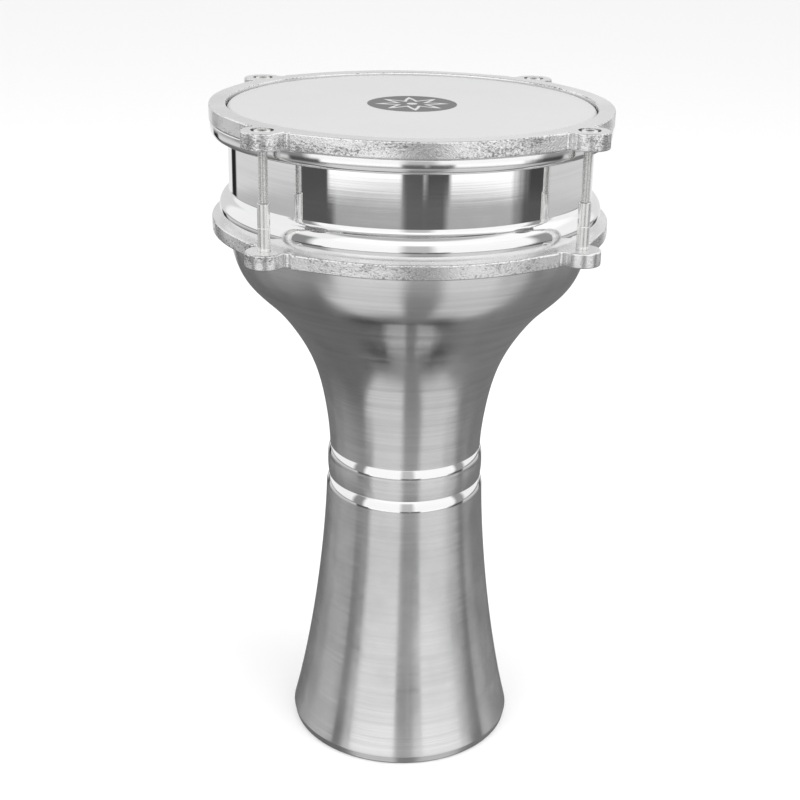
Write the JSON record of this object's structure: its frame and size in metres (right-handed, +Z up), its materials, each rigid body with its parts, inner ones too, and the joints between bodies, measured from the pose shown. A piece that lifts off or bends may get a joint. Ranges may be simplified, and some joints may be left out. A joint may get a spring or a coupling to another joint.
{
  "type": "goblet drum",
  "caption": "Polished metal goblet drum with a flared foot, a beaded neck and a synthetic head tuned by socket screws between two eared rings.",
  "frame": {"origin": "centre of the foot's underside, on the surface that the drum stands on", "axes": "+Z up the drum's axis to the head; the screws stand on the diagonals between X and Y"},
  "size_m": [0.222, 0.222, 0.3866],
  "materials": {
    "polished_shell": "polished, with fine turned lines",
    "cast_ring": "cast, pitted sides and smooth faces",
    "polished_channel": "polished",
    "potting_resin": "cast resin",
    "head_film": "smooth white film",
    "nickel_nut": "bright nickel plate",
    "steel_screw": "zinc plated",
    "steel_washer": "zinc plated"
  },
  "bodies": {
    "shell": {"bowl_shell": "polished_shell", "neck_collar": "polished_shell", "foot_shell": "polished_shell", "lower_ring": "cast_ring", "tube_nut_front_right": "nickel_nut", "tube_nut_back_right": "nickel_nut", "tube_nut_back_left": "nickel_nut", "tube_nut_front_left": "nickel_nut"},
    "hoop": {"tension_hoop": "cast_ring", "head_channel": "polished_channel", "head_potting": "potting_resin", "drumhead_film": "head_film", "washer_front_right": "steel_washer", "washer_back_right": "steel_washer", "washer_back_left": "steel_washer", "washer_front_left": "steel_washer"},
    "screw_front_right": {"tension_screw_front_right": "steel_screw"},
    "screw_back_right": {"tension_screw_back_right": "steel_screw"},
    "screw_back_left": {"tension_screw_back_left": "steel_screw"},
    "screw_front_left": {"tension_screw_front_left": "steel_screw"}
  },
  "joints": [
    {"name": "hoop_travel", "type": "slide", "parent": "shell", "child": "hoop", "axis": [0, 0, 1], "range_m": [0, 0.004]},
    {"name": "screw_turn_front_right", "type": "hinge", "parent": "hoop", "child": "screw_front_right", "pos_m": [0.08174, -0.08174, 0.3816], "axis": [0, 0, 1], "range_deg": [0, 1800]},
    {"name": "screw_turn_back_right", "type": "hinge", "parent": "hoop", "child": "screw_back_right", "pos_m": [0.08174, 0.08174, 0.3816], "axis": [0, 0, 1], "range_deg": [0, 1800]},
    {"name": "screw_turn_back_left", "type": "hinge", "parent": "hoop", "child": "screw_back_left", "pos_m": [-0.08174, 0.08174, 0.3816], "axis": [0, 0, 1], "range_deg": [0, 1800]},
    {"name": "screw_turn_front_left", "type": "hinge", "parent": "hoop", "child": "screw_front_left", "pos_m": [-0.08174, -0.08174, 0.3816], "axis": [0, 0, 1], "range_deg": [0, 1800]}
  ],
  "couplings": [
    {"joint": "screw_turn_front_right", "follows": "hoop_travel", "rad_per_m": 7854},
    {"joint": "screw_turn_back_right", "follows": "hoop_travel", "rad_per_m": 7854},
    {"joint": "screw_turn_back_left", "follows": "hoop_travel", "rad_per_m": 7854},
    {"joint": "screw_turn_front_left", "follows": "hoop_travel", "rad_per_m": 7854}
  ]
}
